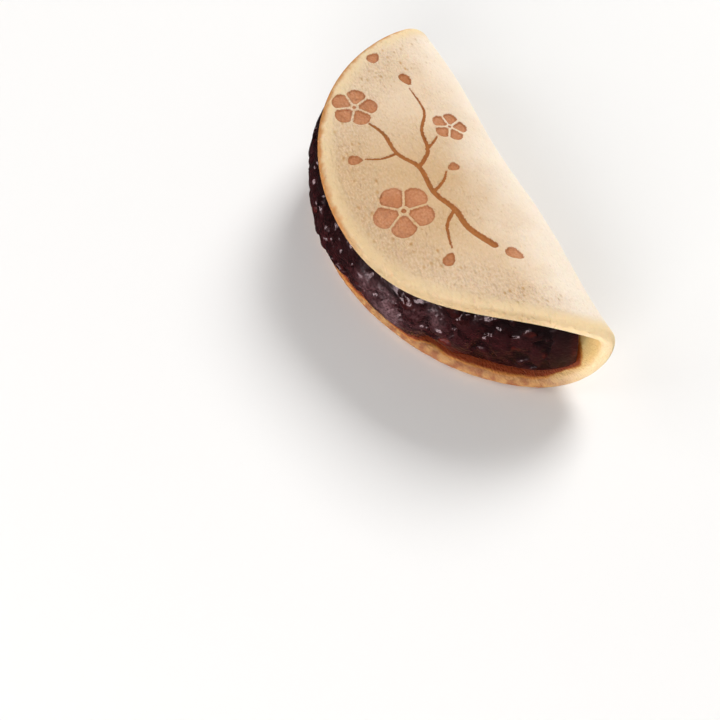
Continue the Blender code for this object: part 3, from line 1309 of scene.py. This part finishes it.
@dataclass
class BeanFilling:
    """The bean filling: mash with whole and broken beans, modelled straight and then bent into the fold.

    Laid out straight, X runs round the open side, Y goes inwards from it, and Z is the height. A bean's half
    axes are drawn between two values each. A tall lump has an angle in degrees round the open side from the
    +X end, a rise from 0 to 1 and a size, and a special bean also says how red it is.
    """

    form: FillingForm
    finish: BeanPaste
    unrolled_radius: float = 58.0 * MM
    true_depth: float = 8.0 * MM
    total_depth: float = 11.0 * MM
    core_segments: tuple[int, int] = (150, 16)
    voxel: float = 0.385 * MM
    seed: int = 7
    rows: int = 6
    bean_axes: tuple[tuple[float, float], ...] = (
        (2.9 * MM, 4.3 * MM),
        (2.1 * MM, 2.9 * MM),
        (1.9 * MM, 2.7 * MM),
    )
    spacing: float = 4.3 * MM
    least_gap: float = 2.6 * MM
    set_back: float = 1.5 * MM
    bits: int = 420
    handful: int = 25
    sunk: float = 1.1 * MM
    dents: float = 1.3 * MM
    dent_length: float = 2.6 * MM
    proud: float = 1.1 * MM
    roughness: float = 0.46 * MM
    rough_length: float = 2.6 * MM
    crack_length: float = 5.0 * MM
    soft_until: float = 46.0
    glazed: tuple[float, float] = (44.0, 24.0)
    smoothest: tuple[float, float] = (26.0, 17.0)
    hollow_depth: tuple[float, float] = (0.1 * MM, 1.3 * MM)
    inset: float = 0.02 * MM
    height_steps: int = 200
    neighbours: int = 6
    tall_lumps: tuple[tuple[float, float, float], ...] = (
        (19.0, 0.50, 4.2 * MM),
        (26.5, 0.35, 2.7 * MM),
        (29.5, 0.62, 3.0 * MM),
        (35.5, 0.50, 4.0 * MM),
        (42.5, 0.70, 3.0 * MM),
        (46.0, 0.40, 3.8 * MM),
        (60.0, 0.50, 3.2 * MM),
    )
    special_beans: tuple[tuple[float, float, float, float], ...] = (
        (28.0, 0.78, 1.5 * MM, 0.45),
        (50.5, 0.16, 3.4 * MM, 0.6),
        (45.0, 0.76, 2.6 * MM, 0.12),
        (49.0, 0.92, 2.2 * MM, 0.25),
        (74.0, 0.30, 2.2 * MM, 0.15),
        (133.0, 0.55, 2.4 * MM, 0.20),
    )

    def build(self, effects: Effects) -> bpy.types.Object:
        """Makes the filling and puts it in the place of its CAD solid.

        Args:
            effects: The shared node groups.

        Returns:
            The finished piece.
        """
        noise.seed_set(self.seed)
        draw = random.Random(self.seed)
        beans = self._placed(draw)
        self._add_rows(draw, beans)
        self._add_bits(draw, beans)
        bm = bmesh.new()
        self._core(bm)
        for start in range(0, len(beans), self.handful):
            self._add_balls(bm, beans[start : start + self.handful])
        mesh = self._merged(bm)
        self._bend(mesh, beans)
        made = as_piece("chunky_bean_paste", mesh, self.finish.material(effects))
        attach(made, "root")
        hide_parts("bean_filling")
        return made

    def _height(self, angle: float) -> float:
        """Height of the filling's open side at an angle."""
        return (self.form.place(angle, 1.0, 1.0) - self.form.place(angle, 1.0, 0.0)).length

    def _at(self, angle: float, inward: float, z: float) -> Vector:
        """A place in the filling laid out straight."""
        return Vector((self.unrolled_radius * angle, inward, z))

    def _placed(self, draw: random.Random) -> list[Bean]:
        """The beans and tall lumps that have a place of their own.

        Args:
            draw: Turns them a little.

        Returns:
            The beans.
        """
        beans = []
        for degrees, rise, size, red in self.special_beans:
            angle = math.radians(degrees)
            turn = Matrix.Rotation(draw.uniform(-0.5, 0.5), 3, "Y")
            axes = Vector((1.25 * size, 0.9 * size, 0.85 * size))
            beans.append(Bean(self._at(angle, 0.35 * size, rise * self._height(angle)), axes, turn, red))
        for degrees, rise, size in self.tall_lumps:
            angle = math.radians(degrees)
            turn = Matrix.Rotation(draw.uniform(-0.4, 0.4), 3, "Y")
            axes = Vector((0.75 * size, 0.8 * size, 2.0 * size))
            beans.append(Bean(self._at(angle, 0.25 * size, rise * self._height(angle)), axes, turn))
        return beans

    def _add_rows(self, draw: random.Random, beans: list[Bean]) -> None:
        """Adds whole beans in uneven rows over the open side, where there is room.

        Args:
            draw: Moves, sizes and turns each one.
            beans: Those made so far, which takes the new ones.
        """
        first, last = self.form.ends()
        columns = round(self.unrolled_radius * (last - first) / self.spacing)
        for column in range(columns):
            for row in range(self.rows):
                angle = column + 0.5 * (row % 2) + draw.uniform(-0.3, 0.3)
                angle = first + (last - first) * angle / columns
                angle = min(max(angle, first + 0.05), last - 0.05)
                degrees = math.degrees(angle)
                axes = Vector(draw.uniform(*pair) for pair in self.bean_axes)
                height = self._height(angle)
                z = height * (row + 0.5 + draw.uniform(-0.3, 0.3)) / self.rows
                z = min(max(z, 0.9 * axes.z), height - 0.9 * axes.z)
                behind = self.set_back * smoothstep(18.0, 23.0, degrees) * smoothstep(53.0, 48.0, degrees)
                middle = self._at(angle, axes.y * draw.uniform(0.45, 1.15) + behind, z)
                turn = Matrix.Rotation(draw.uniform(0.0, math.pi), 3, "Y")
                turn = turn @ Matrix.Rotation(draw.gauss(0.0, 0.5), 3, "X")
                if all((middle - other.middle).length > self.least_gap for other in beans):
                    red = 0.25 if draw.random() < 0.04 else 0.0
                    beans.append(Bean(middle, axes, turn, red))

    def _add_bits(self, draw: random.Random, beans: list[Bean]) -> None:
        """Adds small broken bits between the beans.

        Args:
            draw: Places, sizes and turns each one.
            beans: Takes the bits.
        """
        first, last = self.form.ends()
        for _ in range(self.bits):
            angle = draw.uniform(first + 0.02, last - 0.02)
            size = draw.uniform(0.5, 1.3) * MM
            z = draw.uniform(0.06, 0.94) * self._height(angle)
            middle = self._at(angle, draw.uniform(-0.1, 0.9) * MM, z)
            axes = Vector((size * draw.uniform(0.8, 1.6), size * 0.8, size * draw.uniform(0.6, 1.1)))
            turn = Matrix.Rotation(draw.uniform(0.0, math.pi), 3, "Y")
            beans.append(Bean(middle, axes, turn, 0.3 if draw.random() < 0.03 else 0.0))

    def _core(self, bm: bmesh.types.BMesh) -> None:
        """The mash between and behind the beans, laid out straight.

        Args:
            bm: Takes the mash.
        """
        first, last = self.form.ends()
        columns, rows = self.core_segments
        grid = bmesh.ops.create_grid(bm, x_segments=columns, y_segments=rows, size=1.0)
        raised = bmesh.ops.extrude_face_region(bm, geom=bm.faces[:], use_keep_orig=True)
        backs = {item for item in raised["geom"] if isinstance(item, bmesh.types.BMVert)}
        for vertex in [*grid["verts"], *backs]:
            angle = first + (last - first) * (0.5 + 0.5 * vertex.co.x)
            front = self.sunk * smoothstep(14.0, 26.0, math.degrees(angle))
            rise = 0.5 + 0.5 * vertex.co.y
            inward = self.total_depth if vertex in backs else front
            vertex.co = self._at(angle, inward, rise * self._height(angle))
        bmesh.ops.recalc_face_normals(bm, faces=bm.faces)

    def _add_balls(self, bm: bmesh.types.BMesh, beans: list[Bean]) -> None:
        """Adds a handful of dented beans. They are made apart, because a ball takes longer in a large mesh.

        Args:
            bm: Takes the beans' balls.
            beans: The handful.
        """
        handful = bmesh.new()
        for bean in beans:
            fineness = 3 if bean.axes.length > 2.5 * MM else 2
            bmesh.ops.create_icosphere(handful, subdivisions=fineness, radius=1.0, matrix=bean.matrix())
        for vertex in handful.verts:
            vertex.co += noise.noise_vector(vertex.co / self.dent_length) * self.dents
        mesh = as_mesh("handful", handful)
        bm.from_mesh(mesh)
        bpy.data.meshes.remove(mesh)

    def _merged(self, bm: bmesh.types.BMesh) -> bpy.types.Mesh:
        """One closed skin round the mash and all the beans.

        Args:
            bm: The overlapping shapes. It is freed.

        Returns:
            The mesh of their union, smoothed a little, and more at the soft +X end.
        """
        rough = as_mesh("beans_apart", bm)
        holder = in_scene("beans_apart", rough)
        remesh = holder.modifiers.new("one_skin", "REMESH")
        remesh.mode = "VOXEL"
        remesh.voxel_size = self.voxel
        bpy.context.view_layer.update()
        finished = holder.evaluated_get(bpy.context.evaluated_depsgraph_get())
        merged = bpy.data.meshes.new_from_object(finished)
        bpy.data.objects.remove(holder)
        bpy.data.meshes.remove(rough)
        bm = bmesh.new()
        bm.from_mesh(merged)
        soft_end = self.unrolled_radius * math.radians(self.soft_until)
        soft = [vertex for vertex in bm.verts if vertex.co.x < soft_end]
        axes = {"use_axis_x": True, "use_axis_y": True, "use_axis_z": True}
        for chosen in [bm.verts[:]] * 2 + [soft] * 5:
            bmesh.ops.smooth_vert(bm, verts=chosen, factor=0.5, **axes)
        bm.to_mesh(merged)
        bm.free()
        return merged

    def _relief(self, place: Vector, whole: float, smooth: float) -> float:
        """How far the paste stands out of its smoothed shape.

        Args:
            place: A point of the filling laid out straight.
            whole: 1 on a whole bean and 0 on mash.
            smooth: How smooth the paste is at that angle.

        Returns:
            A share of the roughness, negative in a crack.
        """
        rough = noise.fractal(place / self.rough_length, 0.8, 2.1, 2) * (0.45 + 0.55 * (1.0 - whole))
        ridges = noise.ridged_multi_fractal(place / self.crack_length, 0.9, 2.2, 3, 1.0, 1.5) / 2.2
        rough -= 0.75 * smoothstep(0.75, 1.0, ridges)
        return rough * ((1.0 - 0.6 * smooth) * smoothstep(8.0 * MM, 6.0 * MM, place.y))

    def _inward(self, y: float, degrees: float, rise: float) -> float:
        """How far a point lies inwards from the smooth open side once the filling is bent.

        Args:
            y: How far it lies inwards in the filling laid out straight.
            degrees: Its angle round the open side.
            rise: Its height, 0 to 1.

        Returns:
            The same at the front, held back where it stands proud, and stretched to the fold behind.
        """
        proud = self.proud * (1.0 - 0.8 * smoothstep(112.0, 126.0, degrees))
        proud = proud * (0.4 + 0.6 * smoothstep(0.05, 0.4, rise))
        inward = y if y > 0.0 else proud * (math.exp(y / proud) - 1.0)
        if inward <= self.true_depth:
            return inward
        full = self.unrolled_radius - self.true_depth - 1.5 * MM
        return self.true_depth + (inward - self.true_depth) / (self.total_depth - self.true_depth) * full

    def _bend(self, mesh: bpy.types.Mesh, beans: list[Bean]) -> None:
        """Roughens the mash, notes what the material reads, and bends it all into the fold.

        Args:
            mesh: The filling laid out straight.
            beans: The beans in it.
        """
        tree = kdtree.KDTree(len(beans))
        for index, bean in enumerate(beans):
            tree.insert(bean.middle, index)
        tree.balance()
        first, last = self.form.ends()
        steps = self.height_steps
        heights = [self._height(first + (last - first) * step / steps) for step in range(steps + 1)]
        bm = bmesh.new()
        bm.from_mesh(mesh)
        bm.normal_update()
        names = ("bean", "red", "glaze_and_shade", "hollow", "rise")
        layers = {name: bm.verts.layers.float.new(name) for name in names}
        for vertex in bm.verts:
            place = vertex.co
            near = min((beans[i].depth(place), i) for _, i, _ in tree.find_n(place, self.neighbours))
            degrees = math.degrees(place.x / self.unrolled_radius)
            glazed = smoothstep(*self.glazed, degrees)
            smooth = 0.55 * glazed + 0.45 * smoothstep(*self.smoothest, degrees)
            whole = smoothstep(1.35, 1.1, near[0])
            vertex[layers["bean"]] = whole
            # Marks the smooth glazed paste, which the material also darkens as painted shade.
            vertex[layers["glaze_and_shade"]] = smooth
            moved = place + vertex.normal * (self.roughness * self._relief(place, whole, smooth))
            angle = min(max(moved.x / self.unrolled_radius, first), last)
            step = (angle - first) / (last - first) * steps
            low = heights[int(step)]
            height = low + (heights[min(int(step) + 1, steps)] - low) * (step % 1.0)
            rise = min(max(moved.z / height, 0.0), 1.0)
            inward = self._inward(moved.y, degrees, rise)
            vertex[layers["rise"]] = rise
            # How much painted shade the material puts in this hollow, more at the glazed +X end.
            vertex[layers["hollow"]] = smoothstep(*self.hollow_depth, moved.y + 0.5 * MM * glazed)
            thin = max(0.35 * smoothstep(16.0, 13.0, degrees), 0.5 * smoothstep(0.08, 0.02, rise))
            vertex[layers["red"]] = max(beans[near[1]].red * whole, thin)
            vertex.co = self.form.place(angle, max(1.0 - inward / self.unrolled_radius, 0.02), rise)
            vertex.co.y = max(vertex.co.y, CAD_BOX[0][1] + self.inset)
        bmesh.ops.recalc_face_normals(bm, faces=bm.faces)
        bm.to_mesh(mesh)
        bm.free()


@dataclass
class Studio:
    """Pale floor, soft lights, and the camera that has the photograph's view."""

    floor: Colour = (243, 242, 240)
    floor_size: float = 3.0
    lens: float = 85.0
    sensor: float = 36.0
    eye: tuple[float, float, float] = (257.211 * MM, -121.673 * MM, 363.939 * MM)
    right: tuple[float, float, float] = (0.3718644, 0.92828261, 0.00287394)
    up: tuple[float, float, float] = (-0.76807488, 0.30594452, 0.56254683)
    back: tuple[float, float, float] = (0.52132318, -0.21139854, 0.82676043)
    sky: float = 0.22
    seen_sky: float = 0.98
    glint_colour: tuple[float, float, float] = (1.0, 0.80, 0.84)

    def build(self) -> None:
        """Makes the floor, the lights and the camera."""
        self._floor()
        window = self._light("window", (-0.78, 1.16, 1.30), 0.85, 32.0)
        side = self._light("side_light", (-0.50, -0.95, 0.72), 0.90, 4.5)
        front = self._light("low_front", (0.85, -0.62, 0.34), 0.70, 8.8)
        panel = self._light("glint_panel", (0.42, -0.98, 0.42), 0.80, 62.0)
        window.visible_glossy = side.visible_glossy = front.visible_glossy = False
        panel.visible_diffuse = False
        panel.data.color = self.glint_colour
        self._sky()
        self._camera()

    def _floor(self) -> None:
        """A wide plain floor under the food, which fades out towards its border."""
        bm = bmesh.new()
        bmesh.ops.create_grid(bm, x_segments=2, y_segments=2, size=self.floor_size)
        mesh = as_mesh("floor", bm)
        finish, desk, shader = principled("pale_floor")
        place = desk.place()
        darker = tuple(part - 2 for part in self.floor)
        away = desk.result("ShaderNodeVectorMath", {0: place}, "Value", operation="LENGTH")
        desk.feed(shader.inputs["Base Color"], desk.blend(desk.noise(place, 3.0), self.floor, darker))
        desk.feed(shader.inputs["Alpha"], away.ramp(1.0, 0.4))
        shader.inputs["Roughness"].default_value = 0.8
        made = as_piece("floor", mesh, finish)
        made.visible_glossy = False

    @staticmethod
    def _light(name: str, place: tuple[float, float, float], size: float, power: float) -> bpy.types.Object:
        """A square soft light, turned towards the food.

        Args:
            name: The light's name.
            place: Where it stands.
            size: The length of its sides.
            power: In watts.

        Returns:
            The light.
        """
        lamp = bpy.data.lights.new(name, "AREA")
        lamp.size = size
        lamp.energy = power
        made = in_scene(name, lamp)
        made.location = place
        made.rotation_euler = Vector(place).to_track_quat("Z", "Y").to_euler()
        return made

    def _sky(self) -> None:
        """Even pale light from all round, which looks white itself and hardly shows in moist surfaces."""
        world = bpy.data.worlds.new("pale_room")
        world.use_nodes = True
        desk = NodeDesk(world.node_tree)
        path = desk.add("ShaderNodeLightPath").outputs
        seen = Wire(desk, path["Is Camera Ray"]) * (self.seen_sky - self.sky)
        mirrored = Wire(desk, path["Is Glossy Ray"]) * (0.8 * self.sky)
        background = world.node_tree.nodes["Background"]
        background.inputs["Color"].default_value = (1.0, 1.0, 1.0, 1.0)
        desk.feed(background.inputs["Strength"], seen + self.sky - mirrored)
        bpy.context.scene.world = world
        bpy.context.scene.view_settings.view_transform = "Standard"

    def _camera(self) -> None:
        """The camera, looking down on the food from the open side's +X end."""
        lens = bpy.data.cameras.new("camera")
        lens.lens = self.lens
        lens.sensor_width = self.sensor
        made = in_scene("camera", lens)
        turn = Matrix((self.right, self.up, self.back)).transposed()
        made.matrix_world = Matrix.Translation(self.eye) @ turn.to_4x4()
        bpy.context.scene.camera = made


def report(piece: bpy.types.Object) -> None:
    """Logs a piece's name and how fine its mesh is."""
    faces = sum(len(face.vertices) - 2 for face in piece.data.polygons)
    LOG.info("%s: %d points, %d triangles", piece.name, len(piece.data.vertices), faces)


def main() -> None:
    """Builds the studio, the pancake and the filling."""
    logging.basicConfig(level=logging.INFO, format="%(message)s")
    Studio().build()
    effects = Effects()
    cake = CakeForm()
    filling = FillingForm(cake)
    report(Pancake(cake, filling, BurntDesign(), GriddledCake()).build(effects))
    report(BeanFilling(filling, BeanPaste()).build(effects))


if __name__ == "__main__":
    main()
